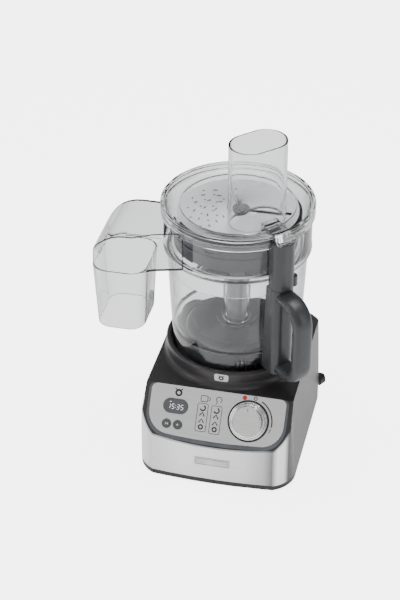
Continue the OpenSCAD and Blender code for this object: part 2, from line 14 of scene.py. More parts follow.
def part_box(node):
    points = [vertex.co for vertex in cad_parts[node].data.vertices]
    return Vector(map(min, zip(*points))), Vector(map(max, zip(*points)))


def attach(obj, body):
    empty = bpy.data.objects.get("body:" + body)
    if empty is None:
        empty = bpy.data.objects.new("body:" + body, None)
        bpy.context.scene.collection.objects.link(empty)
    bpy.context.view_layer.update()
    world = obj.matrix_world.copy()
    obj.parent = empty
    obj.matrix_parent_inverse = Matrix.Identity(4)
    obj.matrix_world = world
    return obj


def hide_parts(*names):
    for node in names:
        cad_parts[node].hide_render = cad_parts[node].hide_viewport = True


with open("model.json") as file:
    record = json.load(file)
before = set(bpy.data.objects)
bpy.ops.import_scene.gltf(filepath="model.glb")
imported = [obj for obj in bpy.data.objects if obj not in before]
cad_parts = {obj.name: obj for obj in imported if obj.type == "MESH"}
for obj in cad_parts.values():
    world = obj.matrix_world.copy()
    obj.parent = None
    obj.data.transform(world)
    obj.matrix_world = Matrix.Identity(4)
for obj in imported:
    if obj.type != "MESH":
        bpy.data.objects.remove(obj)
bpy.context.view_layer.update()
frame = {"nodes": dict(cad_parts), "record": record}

MM = 0.001
nodes = frame["nodes"]

# %% [markdown]
# ## Camera, floor and light
# A product picture is taken with a long lens from the front right and above. The floor runs off white
# behind the object, so one large pale plane is the whole backdrop. Soft lamps and a world of light and
# dark bands give the highlights on satin plastic and part of the edges on clear plastic; the rest of
# those dark edges is painted shade in the clear plastic's colour.

# %% Camera
AZIMUTH = math.radians(13.0)
ELEVATION = math.radians(34.3)
LENS = 108.0

back_way = Vector((math.sin(AZIMUTH) * math.cos(ELEVATION),
                   -math.cos(AZIMUTH) * math.cos(ELEVATION), math.sin(ELEVATION)))
camera_data = bpy.data.cameras.new("camera")
camera_data.lens = LENS
camera_data.sensor_width = 36.0
camera_data.clip_end = 50
camera = bpy.data.objects.new("camera", camera_data)
bpy.context.scene.collection.objects.link(camera)
camera.location = (0.4018, -1.9605, 1.5656)
camera.rotation_mode = "QUATERNION"
camera.rotation_quaternion = (-back_way).to_track_quat("-Z", "Y")
bpy.context.scene.camera = camera
print("camera at", [round(v, 3) for v in camera.location])


# %% Helpers for node materials
def new_material(name):
    """A material with its Principled shader, and a function that adds nodes to it."""
    mat = bpy.data.materials.new(name)
    mat.use_nodes = True
    tree = mat.node_tree
    shader = tree.nodes["Principled BSDF"]

    def add(kind, links=(), **values):
        node = tree.nodes.new(kind)
        for key, value in values.items():
            if hasattr(node, key):
                setattr(node, key, value)
            else:
                node.inputs[key.replace("_", " ")].default_value = value
        for socket, source in links:
            tree.links.new(source, node.inputs[socket])
        return node

    return mat, shader, tree, add


def grain(add, tree, scale, stretch=(1, 1, 1), detail=3.0):
    """Noise on object coordinates, stretched for brushed metal."""
    coords = add("ShaderNodeTexCoord")
    mapping = add("ShaderNodeMapping", [("Vector", coords.outputs["Object"])])
    mapping.inputs["Scale"].default_value = stretch
    return add("ShaderNodeTexNoise", [("Vector", mapping.outputs[0])], Scale=scale, Detail=detail)


def span(add, source, low, high):
    """Turns a 0 to 1 value into a value between low and high."""
    node = add("ShaderNodeMapRange", [("Value", source)])
    node.inputs["From Min"].default_value = 0.3
    node.inputs["From Max"].default_value = 0.7
    node.inputs["To Min"].default_value = low
    node.inputs["To Max"].default_value = high
    return node.outputs["Result"]


# %% [markdown]
# ## Finishes
# Moulded plastic is never one flat colour: a fine spark-eroded grain breaks up its highlight, and its
# gloss wanders a little. Brushed steel has a grain in one direction, so its noise is stretched.
# Clear plastic bends light, but its shadow is pale, so rays towards a lamp go straight through. Its
# colour darkens where its surface turns edge-on: painted shade for the dark lines along its edges.

# %% Plastic, rubber and painted finishes
def plastic(name, color, rough=0.38, texture=0.06, scale=1400, coat=0.0):
    mat, shader, tree, add = new_material(name)
    fine = grain(add, tree, scale)
    wide = grain(add, tree, 45, detail=2.0)
    ramp = add("ShaderNodeValToRGB", [("Fac", wide.outputs["Fac"])])
    ramp.color_ramp.elements[0].position = 0.3
    ramp.color_ramp.elements[1].position = 0.75
    ramp.color_ramp.elements[0].color = [c * 0.9 for c in color] + [1]
    ramp.color_ramp.elements[1].color = [min(1, c * 1.12) for c in color] + [1]
    tree.links.new(ramp.outputs["Color"], shader.inputs["Base Color"])
    tree.links.new(span(add, fine.outputs["Fac"], rough - 0.05, rough + 0.07),
                   shader.inputs["Roughness"])
    bump = add("ShaderNodeBump", [("Height", fine.outputs["Fac"])], Strength=texture)
    bump.inputs["Distance"].default_value = 0.0002
    tree.links.new(bump.outputs["Normal"], shader.inputs["Normal"])
    shader.inputs["Coat Weight"].default_value = coat
    return mat


# %% Metals
def metal(name, color, rough=0.3, brushed=None, depth=0.12):
    mat, shader, tree, add = new_material(name)
    shader.inputs["Metallic"].default_value = 1.0
    fine = grain(add, tree, 700 if brushed else 900, brushed or (1, 1, 1), 4.0)
    ramp = add("ShaderNodeValToRGB", [("Fac", fine.outputs["Fac"])])
    ramp.color_ramp.elements[0].position = 0.25
    ramp.color_ramp.elements[1].position = 0.8
    ramp.color_ramp.elements[0].color = [c * 0.93 for c in color] + [1]
    ramp.color_ramp.elements[1].color = [min(1, c * 1.04) for c in color] + [1]
    tree.links.new(ramp.outputs["Color"], shader.inputs["Base Color"])
    tree.links.new(span(add, fine.outputs["Fac"], rough - 0.06, rough + 0.1),
                   shader.inputs["Roughness"])
    bump = add("ShaderNodeBump", [("Height", fine.outputs["Fac"])], Strength=depth)
    bump.inputs["Distance"].default_value = 0.0001
    tree.links.new(bump.outputs["Normal"], shader.inputs["Normal"])
    return mat


# %% Clear plastic
def clear(name, color, rough=0.02):
    mat, shader, tree, add = new_material(name)
    shader.inputs["Transmission Weight"].default_value = 1.0
    shader.inputs["IOR"].default_value = 1.46
    wander = grain(add, tree, 25, detail=1.0)
    tree.links.new(span(add, wander.outputs["Fac"], rough, rough + 0.03), shader.inputs["Roughness"])
    # painted shade: the colour falls to 0.12 of itself where the surface is seen edge-on, for dark edge
    # lines
    slope = add("ShaderNodeLayerWeight", Blend=0.5)
    tone = add("ShaderNodeValToRGB", [("Fac", slope.outputs["Facing"])])
    tone.color_ramp.elements[0].position = 0.55
    tone.color_ramp.elements[0].color = (*color, 1)
    tone.color_ramp.elements[1].position = 0.9
    tone.color_ramp.elements[1].color = [c * 0.12 for c in color] + [1]
    tree.links.new(tone.outputs["Color"], shader.inputs["Base Color"])
    rays = add("ShaderNodeLightPath")
    open_way = add("ShaderNodeBsdfTransparent", Color=(0.9, 0.91, 0.92, 1))
    mix = add("ShaderNodeMixShader", [(0, rays.outputs["Is Shadow Ray"]), (1, shader.outputs[0]),
                                      (2, open_way.outputs[0])])
    tree.links.new(mix.outputs[0], tree.nodes["Material Output"].inputs["Surface"])
    return mat


# %% The finishes of this machine
ALONG_X = (0.02, 1, 1)
finish = {
    "rubber_foot": plastic("foot_rubber", (0.02, 0.02, 0.021), 0.75, 0.2),
    "black_plastic": plastic("black_plastic", (0.012, 0.012, 0.013), 0.35),
    "housing_charcoal": plastic("charcoal_housing", (0.031, 0.028, 0.030), 0.36, 0.1),
    "brushed_steel": metal("brushed_steel", (0.88, 0.88, 0.885), 0.34, ALONG_X, 0.03),
    "wrap_steel": metal("wrap_steel", (0.66, 0.66, 0.665), 0.3, ALONG_X, 0.03),
    "disc_steel": metal("disc_steel", (0.98, 0.98, 0.98), 0.45, depth=0.02),
    "trim_grey": plastic("grey_trim", (0.105, 0.112, 0.122), 0.4),
    "display_smoke": plastic("display_smoke", (0.085, 0.088, 0.095), 0.16, 0.0, coat=0.5),
    "electronics_dark": plastic("electronics", (0.03, 0.03, 0.033), 0.5),
    "circuit_board": plastic("circuit_board", (0.02, 0.12, 0.05), 0.4),
    "knob_chrome": metal("knob_chrome", (0.95, 0.95, 0.96), 0.12, depth=0.02),
    "knob_satin": metal("knob_satin", (0.95, 0.95, 0.93), 0.36, ALONG_X, 0.02),
    "button_grey": plastic("button_grey", (0.085, 0.09, 0.096), 0.42),
    "label_silver": plastic("label_silver", (0.74, 0.74, 0.74), 0.3, 0.02),
    "hub_slate": plastic("slate_plastic", (0.032, 0.035, 0.042), 0.34),
    "handle_grey": plastic("handle_grey", (0.036, 0.039, 0.042), 0.33),
    "steel": metal("plain_steel", (0.5, 0.51, 0.52), 0.35),
    "cast_metal": metal("cast_metal", (0.42, 0.43, 0.44), 0.55, depth=0.3),
    "copper_winding": metal("copper_winding", (0.5, 0.24, 0.1), 0.4),
    "belt_rubber": plastic("belt_rubber", (0.015, 0.015, 0.015), 0.7),
    "clear_plastic": clear("clear_plastic", (0.95, 0.96, 0.965)),
    "shaft_grey": plastic("shaft_grey", (0.20, 0.215, 0.235), 0.35),
}
slot_of = {row["node"]: row["material_slot"] for row in frame["record"]["subparts"]}
for name, obj in nodes.items():
    obj.data.materials.clear()
    obj.data.materials.append(finish[slot_of[name]])
nodes["slicing_disc"].data.materials[0] = finish["disc_steel"]
print("finishes:", len(finish))

# %% Bands of light and shade where the steel turns the corners
def set_tones(ramp, steps):
    """Fills a colour ramp with greys, each given as (place, brightness)."""
    for _ in steps[2:]:
        ramp.elements.new(0.5)
    for element, (at, _) in zip(ramp.elements, steps):
        element.position = at
    for element, (_, tone) in zip(ramp.elements, steps):
        element.color = (tone, tone, tone, 1)


tree = finish["wrap_steel"].node_tree
coords = tree.nodes.new("ShaderNodeTexCoord")
split = tree.nodes.new("ShaderNodeSeparateXYZ")
reach = tree.nodes.new("ShaderNodeMapRange")
bands = tree.nodes.new("ShaderNodeValToRGB")
tree.links.new(coords.outputs["Object"], split.inputs[0])
tree.links.new(split.outputs["X"], reach.inputs["Value"])
reach.inputs["From Min"].default_value = -0.107
reach.inputs["From Max"].default_value = 0.107
tree.links.new(reach.outputs["Result"], bands.inputs["Fac"])
tones = [(0.0, 0.12), (0.03, 0.9), (0.1, 0.66), (0.3, 0.85), (0.7, 0.72), (0.82, 0.5), (0.875, 0.2),
         (0.91, 0.95), (0.945, 0.85), (0.965, 0.12), (1.0, 0.1)]
set_tones(bands.color_ramp, tones)
tree.links.new(bands.outputs["Color"], tree.nodes["Principled BSDF"].inputs["Base Color"])
print("steel bands:", len(bands.color_ramp.elements))

# %% [markdown]
# ## Rounded edges
# Moulded and pressed parts have no knife edges: a radius of a few tenths to a few millimetres catches
# the light. The frame's meshes are exact but sharp, so each one is copied, its loose triangles are
# merged into clean faces, and a Bevel rounds the edges that are sharper than a set angle.

# %% Copy a frame part and round it
def place(mesh, name, material, body, slot_name, *replaced):
    """Makes the object of a finished mesh in place of the frame parts it replaces, and hangs it on its body;
    slot_name is not used.
    """
    obj = bpy.data.objects.new(name, mesh)
    bpy.context.scene.collection.objects.link(obj)
    mesh.materials.clear()
    mesh.materials.append(finish[material] if isinstance(material, str) else material)
    if replaced:
        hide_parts(*replaced)
    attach(obj, body)
    return obj


def baked(obj):
    """The plain mesh that an object's modifiers make of it; the object itself goes."""
    graph = bpy.context.evaluated_depsgraph_get()
    mesh = bpy.data.meshes.new_from_object(obj.evaluated_get(graph))
    bpy.data.objects.remove(obj)
    return mesh


def smooth(mesh, angle=32):
    """Smooth shading that stops at edges sharper than an angle."""
    mesh.shade_smooth()
    mesh.set_sharp_from_angle(angle=math.radians(angle))
    return mesh


def clean_copy(node):
    """The frame part's mesh with its doubles merged and its flat faces joined."""
    mesh = nodes[node].data.copy()
    work = bmesh.new()
    work.from_mesh(mesh)
    bmesh.ops.remove_doubles(work, verts=work.verts, dist=2e-6)
    bmesh.ops.dissolve_limit(work, angle_limit=math.radians(1.5), verts=work.verts, edges=work.edges)
    work.to_mesh(mesh)
    work.free()
    return mesh


def rounded(node, width):
    """A piece with rounded edges, width in millimetres, in place of a frame part."""
    obj = bpy.data.objects.new(node + "_form", clean_copy(node))
    bpy.context.scene.collection.objects.link(obj)
    bevel = obj.modifiers.new("edges", "BEVEL")
    bevel.width = width * MM
    bevel.segments = 3
    bevel.limit_method = "ANGLE"
    bevel.angle_limit = math.radians(35)
    weigh = obj.modifiers.new("normals", "WEIGHTED_NORMAL")
    weigh.keep_sharp = True
    smooth(obj.data, 40)
    mesh = baked(obj)
    home = next(b for b, members in frame["record"]["behaviour"]["bodies"].items() if node in members)
    look = "wrap_steel" if node == "front_wrap" else slot_of[node]
    return place(mesh, node + "_form", look, home, slot_of[node], node)


ROUNDED = {
    "base_housing": 1.2, "front_wrap": 0.3, "base_pan": 0.8, "foot_ring": 0.6, "control_panel": 0.3,
    "display_window": 0.35, "blank_plate": 0.25, "weigh_tag": 0.2, "hub_drum": 0.8, "hub_cap": 0.8,
    "interlock_block": 0.4, "bowl_handle": 1.2, "collar_column": 1.2, "speed_knob": 0.6,
    "knob_face": 0.3, "button_left": 0.5, "button_right": 0.5, "lid_tab": 1.2, "disc_hub": 0.5,
    "slinger_drum": 0.3, "feed_tube": 0.7, "chute_hood": 0.8, "chute_extension": 0.5,
    "drive_shaft": 0.4, "cord_inlet": 0.5, "knob_ring": 0.3,
}
for name, width in ROUNDED.items():
    rounded(name, width)
print("rounded parts:", len(ROUNDED))

# %% [markdown]
# ## Turned clear parts
# The bowl, the collar and the lid are round, so one outline spun about the drive axis makes each of
# them. A few extra points at the rims round their edges, and 160 steps keep their outline smooth in
# reflections. Openings are cut afterwards with a Boolean.

# %% Spin an outline
STEPS = 160


def turned(outline):
    """A closed ring of quads from a closed outline of (radius, height) points in millimetres."""
    mesh = bpy.data.meshes.new("turned")
    work = bmesh.new()
    rings = []
    for step in range(STEPS):
        a = 2 * math.pi * step / STEPS
        rings.append([work.verts.new((r * MM * math.cos(a), r * MM * math.sin(a), z * MM))
                      for r, z in outline])
    count = len(outline)
    for step in range(STEPS):
        here, there = rings[step], rings[(step + 1) % STEPS]
        for i in range(count):
            j = (i + 1) % count
            work.faces.new((here[i], there[i], there[j], here[j]))
    bmesh.ops.recalc_face_normals(work, faces=work.faces)
    work.to_mesh(mesh)
    work.free()
    return mesh


def soft_outline(points, radius, steps=3):
    """Rounds every corner of a closed outline by a radius, less where its sides are short."""
    out = []
    for i, here in enumerate(points):
        before, after = Vector(points[i - 1]), Vector(points[(i + 1) % len(points)])
        corner = Vector(here)
        to_before, to_after = before - corner, after - corner
        turn = to_before.angle(to_after)
        cut = min(radius, 0.45 * to_before.length, 0.45 * to_after.length)
        if turn > math.radians(165):
            out.append(tuple(corner))
            continue
        start, end = corner + to_before.normalized() * cut, corner + to_after.normalized() * cut
        for k in range(steps + 1):
            t = k / steps
            p = (1 - t) ** 2 * start + 2 * t * (1 - t) * corner + t ** 2 * end
            out.append(tuple(p))
    return out


def cut_with(mesh, cutter):
    """The mesh with a closed cutter taken out of it."""
    body_obj = bpy.data.objects.new("cut_body", mesh)
    tool = bpy.data.objects.new("cut_tool", cutter)
    for obj in (body_obj, tool):
        bpy.context.scene.collection.objects.link(obj)
    boolean = body_obj.modifiers.new("cut", "BOOLEAN")
    boolean.operation = "DIFFERENCE"
    boolean.solver = "EXACT"
    boolean.object = tool
    made = baked(body_obj)
    bpy.data.objects.remove(tool)
    return made


def block(low, high):
    """A plain cutter box in millimetres."""
    mesh = bpy.data.meshes.new("block")
    work = bmesh.new()
    size = [(b - a) * MM for a, b in zip(low, high)]
    middle = [(a + b) / 2 * MM for a, b in zip(low, high)]
    bmesh.ops.create_cube(work, size=1, matrix=Matrix.Translation(middle) @ Matrix.Diagonal((*size, 1)))
    work.to_mesh(mesh)
    work.free()
    return mesh


# %% The bowl
WALL = 2.4
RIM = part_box("bowl")[1].z / MM
FLOOR = 171.0


def bowl_radius(z):
    """Outer radius of the bowl: a short seat, then a taper that opens towards the rim."""
    if z < 148:
        return 85.4 + 0.6 * (z - 131) / 17
    return 86.0 + 7.3 * ((z - 148) / (RIM - 148)) ** 0.9


heights = [131, 140, 148, 160, FLOOR, 185, 205, 230, 255, 275, RIM - 3.4]
outside = [(bowl_radius(z), z) for z in heights]
inside = [(bowl_radius(z) - WALL, z) for z in reversed(heights) if z > FLOOR + 3]
wall_outline = (outside + [(96.6, RIM - 2.6), (96.6, RIM), (bowl_radius(RIM) - WALL, RIM)] + inside
                + [(bowl_radius(FLOOR + 4) - WALL, FLOOR + 4), (82, FLOOR + 3)]
                + [(27, FLOOR + 3), (25.5, FLOOR + 5.5), (19.5, FLOOR + 6.8), (17.6, FLOOR + 10),
                   (17, FLOOR + 16), (17, RIM), (15, RIM), (15, FLOOR), (82, FLOOR)]
                + [(bowl_radius(FLOOR) - WALL, FLOOR - 1)]
                + [(bowl_radius(z) - WALL, z) for z in (160, 148, 140, 131)])
bowl_mesh = turned(soft_outline(wall_outline, 0.9))
place(smooth(bowl_mesh, 50), "bowl_form", "clear_plastic", "bowl", "clear_plastic", "bowl")

# %% The collar
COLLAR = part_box("collar")
COLLAR_R, COLLAR_TOP = COLLAR[1].x / MM, COLLAR[1].z / MM
SKIRT = COLLAR[0].z / MM
collar_outline = [(86.8, SKIRT), (89.1, SKIRT), (90.3, RIM + 0.3), (COLLAR_R, RIM + 0.3),
                  (COLLAR_R, RIM + 3), (COLLAR_R - 0.7, RIM + 4), (COLLAR_R - 0.7, 345),
                  (COLLAR_R, 346), (COLLAR_R, COLLAR_TOP), (COLLAR_R - WALL, COLLAR_TOP),
                  (COLLAR_R - WALL, 297), (19, 297), (19, 294.6), (88, 294.6), (88, 292)]
collar_mesh = turned(soft_outline(collar_outline, 0.8))
collar_mesh = cut_with(collar_mesh, block((-130, -100, 297.2), (-40, -16, 346)))
place(smooth(collar_mesh, 50), "collar_form", "clear_plastic", "collar", "clear_plastic", "collar")

# %% The lid
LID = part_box("lid")
LID_R, LID_TOP = LID[1].x / MM, LID[1].z / MM
lid_outline = [(0.01, 349.6), (74, 349.6), (76, 350.2), (93, 354.6), (95.5, LID_TOP - 3.6),
               (LID_R - 2.6, LID_TOP - 3.6), (LID_R - 2.2, 342), (LID_R, 342), (LID_R, LID_TOP - 1),
               (LID_R - 1, LID_TOP), (LID_R - 4.6, LID_TOP), (LID_R - 6, LID_TOP - 1.4),
               (77, 353.6), (75.8, 354), (74.6, 352), (0.01, 352)]
lid_mesh = turned(soft_outline(lid_outline, 0.7))


def capsule(long, short, z0, z1, steps=48):
    """A closed upright prism with round ends, turned to face the handle, over the feed opening."""
    mesh = bpy.data.meshes.new("capsule")
    work = bmesh.new()
    centre = 44 * math.cos(math.radians(45))
    straight, r = (long - short) / 2, short / 2
    rings = []
    for z in (z0, z1):
        ring = []
        for i in range(steps):
            a = 2 * math.pi * i / steps
            x = r * math.cos(a) + math.copysign(straight, math.cos(a))
            p = Matrix.Rotation(math.radians(45), 2) @ Vector((x, r * math.sin(a)))
            ring.append(work.verts.new(((p.x + centre) * MM, (p.y - centre) * MM, z * MM)))
        rings.append(ring)
    for i in range(steps):
        j = (i + 1) % steps
        work.faces.new((rings[0][i], rings[0][j], rings[1][j], rings[1][i]))
    work.faces.new(rings[0][::-1])
    work.faces.new(rings[1])
    work.to_mesh(mesh)
    work.free()
    return mesh


lid_mesh = cut_with(lid_mesh, capsule(79 - 2 * WALL, 54 - 2 * WALL, 340, 370))
place(smooth(lid_mesh, 50), "lid_form", "clear_plastic", "lid", "clear_plastic", "lid")
print("turned parts made")

# %% [markdown]
# ## The grip
# The grip is a soft loop that the fingers close round: an oval section swept along a bent path. The
# path is an arc at each corner and the section turns with it. It starts and ends inside the spine.

# %% Sweep an oval along the grip's path
HANDLE = Matrix.Rotation(math.radians(-45), 4, "Z")


def grip_path():
    """Points (radius, height) along the middle of the loop, from its foot to its top."""
    low, high, reach, corner = 159.5, 270.5, 152.5, 26.0
    path = [(110, low), (118, low)]
    for i in range(13):
        a = math.radians(-90 + 90 * i / 12)
        path.append((reach - corner + corner * math.cos(a), low + corner + corner * math.sin(a)))
    for i in range(13):
        a = math.radians(90 * i / 12)
        path.append((reach - corner + corner * math.cos(a), high - corner + corner * math.sin(a)))
    return path + [(118, high), (110, high)]


def sweep_grip(half_wide=13.6, half_deep=8.2, sides=32):
    mesh = bpy.data.meshes.new("grip")
    work = bmesh.new()
    path = [Vector(p) for p in grip_path()]
    rings = []
    for i, p in enumerate(path):
        ahead = (path[min(i + 1, len(path) - 1)] - path[max(i - 1, 0)]).normalized()
        out = Vector((ahead.y, -ahead.x))
        ring = []
        for k in range(sides):
            a = 2 * math.pi * k / sides
            bulge = abs(math.cos(a)) ** 0.7 * math.copysign(1, math.cos(a))
            rise = abs(math.sin(a)) ** 0.8 * math.copysign(1, math.sin(a))
            at = p + out * half_deep * rise
            ring.append(work.verts.new(HANDLE @ Vector((at.x * MM, half_wide * bulge * MM, at.y * MM))))
        rings.append(ring)
    for here, there in zip(rings, rings[1:]):
        for k in range(sides):
            j = (k + 1) % sides
            work.faces.new((here[k], here[j], there[j], there[k]))
    work.faces.new(rings[0][::-1])
    work.faces.new(rings[-1])
    bmesh.ops.recalc_face_normals(work, faces=work.faces)
    work.to_mesh(mesh)
    work.free()
    return smooth(mesh, 60)


place(sweep_grip(), "grip_form", "handle_grey", "bowl", "handle_grey", "handle_grip")

# %% [markdown]
# ## Things that repeat
# The segments of the clock, the printed marks and the dimples of the disc are each one small shape
# put down many times. A Geometry Nodes tree places a shape on every point of a mesh, turned and sized
# by the point's own attributes, and then makes the copies real.

# %% The stamping tree
def stamp_tree():
    tree = bpy.data.node_groups.new("stamp", "GeometryNodeTree")
    face = tree.interface
    face.new_socket("Points", in_out="INPUT", socket_type="NodeSocketGeometry")
    face.new_socket("Item", in_out="INPUT", socket_type="NodeSocketObject")
    face.new_socket("Size", in_out="INPUT", socket_type="NodeSocketFloat")
    face.new_socket("Material", in_out="INPUT", socket_type="NodeSocketMaterial")
    face.new_socket("Geometry", in_out="OUTPUT", socket_type="NodeSocketGeometry")
    add = tree.nodes.new
    enter, leave = add("NodeGroupInput"), add("NodeGroupOutput")
    item, copies = add("GeometryNodeObjectInfo"), add("GeometryNodeInstanceOnPoints")
    turn, size = add("GeometryNodeInputNamedAttribute"), add("GeometryNodeInputNamedAttribute")
    grow = add("ShaderNodeVectorMath")
    real = add("GeometryNodeRealizeInstances")
    paint = add("GeometryNodeSetMaterial")
    turn.data_type = size.data_type = "FLOAT_VECTOR"
    turn.inputs["Name"].default_value = "turn"
    size.inputs["Name"].default_value = "size"
    grow.operation = "SCALE"
    link = tree.links.new
    link(enter.outputs["Points"], copies.inputs["Points"])
    link(enter.outputs["Item"], item.inputs["Object"])
    link(item.outputs["Geometry"], copies.inputs["Instance"])
    link(turn.outputs[0], copies.inputs["Rotation"])
    link(size.outputs[0], grow.inputs[0])
    link(enter.outputs["Size"], grow.inputs["Scale"])
    link(grow.outputs[0], copies.inputs["Scale"])
    link(copies.outputs[0], real.inputs[0])
    link(real.outputs[0], paint.inputs["Geometry"])
    link(enter.outputs["Material"], paint.inputs["Material"])
    link(paint.outputs[0], leave.inputs["Geometry"])
    return tree


STAMP = stamp_tree()


def bar_item(sides=4, height=0.25):
    """A flat tile or disc, one millimetre across, with its underside at zero."""
    mesh = bpy.data.meshes.new("tile")
    work = bmesh.new()
    r = 0.5 * math.sqrt(2) if sides == 4 else 0.5
    bmesh.ops.create_cone(work, segments=sides, radius1=r, radius2=r * 0.94, depth=height, cap_ends=True,
                          matrix=Matrix.Rotation(math.pi / 4 if sides == 4 else 0, 4, "Z"))
    bmesh.ops.translate(work, vec=(0, 0, height / 2), verts=work.verts)
    work.to_mesh(mesh)
    work.free()
    obj = bpy.data.objects.new("tile", mesh)
    bpy.context.scene.collection.objects.link(obj)
    return obj


def stamp(name, item, marks, matrix, material, body, slot_name):
    """Puts the item on each mark (x, y, z, turn in degrees, width, length), all in millimetres."""
    mesh = bpy.data.meshes.new(name)
    mesh.from_pydata([m[:3] for m in marks], [], [])
    turn = mesh.attributes.new("turn", "FLOAT_VECTOR", "POINT")
    size = mesh.attributes.new("size", "FLOAT_VECTOR", "POINT")
    for i, m in enumerate(marks):
        turn.data[i].vector = (0, 0, math.radians(m[3]))
        size.data[i].vector = (m[4], m[5], 1)
    obj = bpy.data.objects.new(name + "_points", mesh)
    bpy.context.scene.collection.objects.link(obj)
    nodes_mod = obj.modifiers.new("stamp", "NODES")
    nodes_mod.node_group = STAMP
    ids = {s.name: s.identifier for s in STAMP.interface.items_tree if s.in_out == "INPUT"}
    nodes_mod[ids["Item"]] = item
    nodes_mod[ids["Size"]] = 1.0
    nodes_mod[ids["Material"]] = finish[material]
    made = baked(obj)
    bpy.data.objects.remove(item)
    made.transform(matrix @ Matrix.Diagonal((MM, MM, MM, 1)))
    return place(made, name, material, body, slot_name)

# %% [markdown]
# ## The control plate
# The plate leans back at 55 degrees. A local frame with X across it, Y up its slope and Z out of it
# lets every printed mark be placed with plain numbers.

# %% Frame of the plate, and the clock's digits
TILT = math.radians(55)
PANEL = Matrix.Translation((0, -144.5 * MM, 69.4 * MM)) @ Matrix.Rotation(TILT, 4, "X")
SEGMENTS = {"0": "abcdef", "1": "bc", "2": "abged", "3": "abgcd", "4": "fgbc", "5": "afgcd",
            "6": "afgedc", "7": "abc", "8": "abcdefg", "9": "abcdfg"}
# where each segment sits in a digit one unit wide and two tall, and whether it stands upright
SEGMENT_AT = {"a": (0, 1, 0), "b": (0.5, 0.5, 1), "c": (0.5, -0.5, 1), "d": (0, -1, 0),
              "e": (-0.5, -0.5, 1), "f": (-0.5, 0.5, 1), "g": (0, 0, 0)}
DIGIT, PITCH, SLANT = 3.0, 5.3, 0.12
digits = []
for place_no, figure in enumerate("1535"):
    left = -56 + (place_no - 1.5) * PITCH + (0.8 if place_no > 1 else -0.8)
    for segment in SEGMENTS[figure]:
        dx, dy, upright = SEGMENT_AT[segment]
        digits.append((left + (dx + dy * SLANT) * DIGIT, 39.6 + dy * DIGIT * 1.05, 0.5,
                       90 if upright else 0, DIGIT * 0.82, 0.75))
digits += [(-56.1, 38.4, 0.5, 0, 0.8, 0.8), (-55.9, 41.2, 0.5, 0, 0.8, 0.8), (-63.0, 45.6, 0.5, 0, 3.0, 0.6)]

finish["digit_white"] = plastic("digit_white", (0.86, 0.88, 0.9), 0.4, 0.0)
lit = finish["digit_white"].node_tree.nodes["Principled BSDF"]
lit.inputs["Emission Color"].default_value = (0.9, 0.95, 1, 1)
lit.inputs["Emission Strength"].default_value = 0.5
finish["print_black"] = plastic("print_black", (0.012, 0.012, 0.013), 0.45, 0.0)
finish["print_red"] = plastic("print_red", (0.62, 0.02, 0.02), 0.35, 0.0, coat=0.4)
finish["print_white"] = plastic("print_white", (0.8, 0.8, 0.8), 0.4, 0.0)
finish["print_blue"] = plastic("print_blue", (0.09, 0.12, 0.25), 0.4, 0.0)
stamp("clock_digits", bar_item(height=0.12), digits, PANEL, "digit_white", "base", "label_silver")
print("clock segments:", len(digits))


# %% Printed outlines
def ribbon(path, width, height=0.12, closed=True):
    """A flat printed line of a given width along a path of (x, y), in millimetres."""
    mesh = bpy.data.meshes.new("ribbon")
    work = bmesh.new()
    count = len(path)
    sides = []
    for i, p in enumerate(path):
        before = Vector(path[i - 1] if closed or i else p)
        after = Vector(path[(i + 1) % count] if closed or i < count - 1 else p)
        ahead = (after - before).normalized()
        out = Vector((ahead.y, -ahead.x)) * width / 2
        sides.append([work.verts.new((p[0] + out.x * s, p[1] + out.y * s, z))
                      for s, z in ((1, 0), (1, height), (-1, height), (-1, 0))])
    for i in range(count if closed else count - 1):
        here, there = sides[i], sides[(i + 1) % count]
        for k in range(4):
            work.faces.new((here[k], there[k], there[(k + 1) % 4], here[(k + 1) % 4]))
    if not closed:
        work.faces.new(sides[0])
        work.faces.new(sides[-1][::-1])
    bmesh.ops.recalc_face_normals(work, faces=work.faces)
    work.to_mesh(mesh)
    work.free()
    return mesh


def arc(x, y, r, start, end, steps=24):
    """Points on an arc, with angles in degrees from the right."""
    return [(x + r * math.cos(math.radians(start + (end - start) * i / steps)),
             y + r * math.sin(math.radians(start + (end - start) * i / steps))) for i in range(steps + 1)]


def frame_path(x, y, half_w, half_h, r, lean=0.0):
    """A rounded rectangle that leans to the right as it rises."""
    path = []
    for sx, sy, a in ((1, 1, 0), (-1, 1, 90), (-1, -1, 180), (1, -1, 270)):
        path += arc(x + sx * (half_w - r), y + sy * (half_h - r), r, a, a + 90, 6)
    return [(px + (py - y) * lean, py) for px, py in path]


def joined(meshes):
    """Several meshes as one."""
    work = bmesh.new()
    for mesh in meshes:
        work.from_mesh(mesh)
    out = bpy.data.meshes.new("joined")
    work.to_mesh(out)
    work.free()
    return out


def on_panel(mesh):
    """Takes a mesh drawn flat in millimetres onto the control plate."""
    mesh.transform(PANEL @ Matrix.Diagonal((MM, MM, MM, 1)))
    return mesh


def round_knob(r, clockwise):
    """A point at a radius from the knob's middle, turned clockwise from its top in degrees."""
    turned_by = math.radians(clockwise)
    return KNOB_X + r * math.sin(turned_by), KNOB_Y + r * math.cos(turned_by)


# %% The marks of the two speed guides, and of the scale
KNOB_X, KNOB_Y = 43.4, 34.0
DIAL_R = 31.2               # radius of the marks round the knob
OFF_AT, PULSE_AT = -16, 11  # clockwise from the knob's top, in degrees
lines = []
for x, y in ((-19.3, 30.3), (-0.5, 29.2)):
    lines.append(ribbon(frame_path(x, y, 7.0, 18.6, 2.2), 0.8))
    lines.append(ribbon(arc(x, y + 12.6, 3.4, 200, 430, 16), 1.9, closed=False))
    lines.append(ribbon([(x - 3.4, y + 2.2), (x + 0.4, y + 7.0), (x + 3.2, y + 1.6)], 1.7, closed=False))
    lines.append(ribbon([(x - 3.6, y - 7.0), (x, y - 2.2), (x + 3.6, y - 7.0)], 1.6, closed=False))
    lines.append(ribbon(arc(x, y - 12.6, 2.7, 0, 345, 18), 1.9))
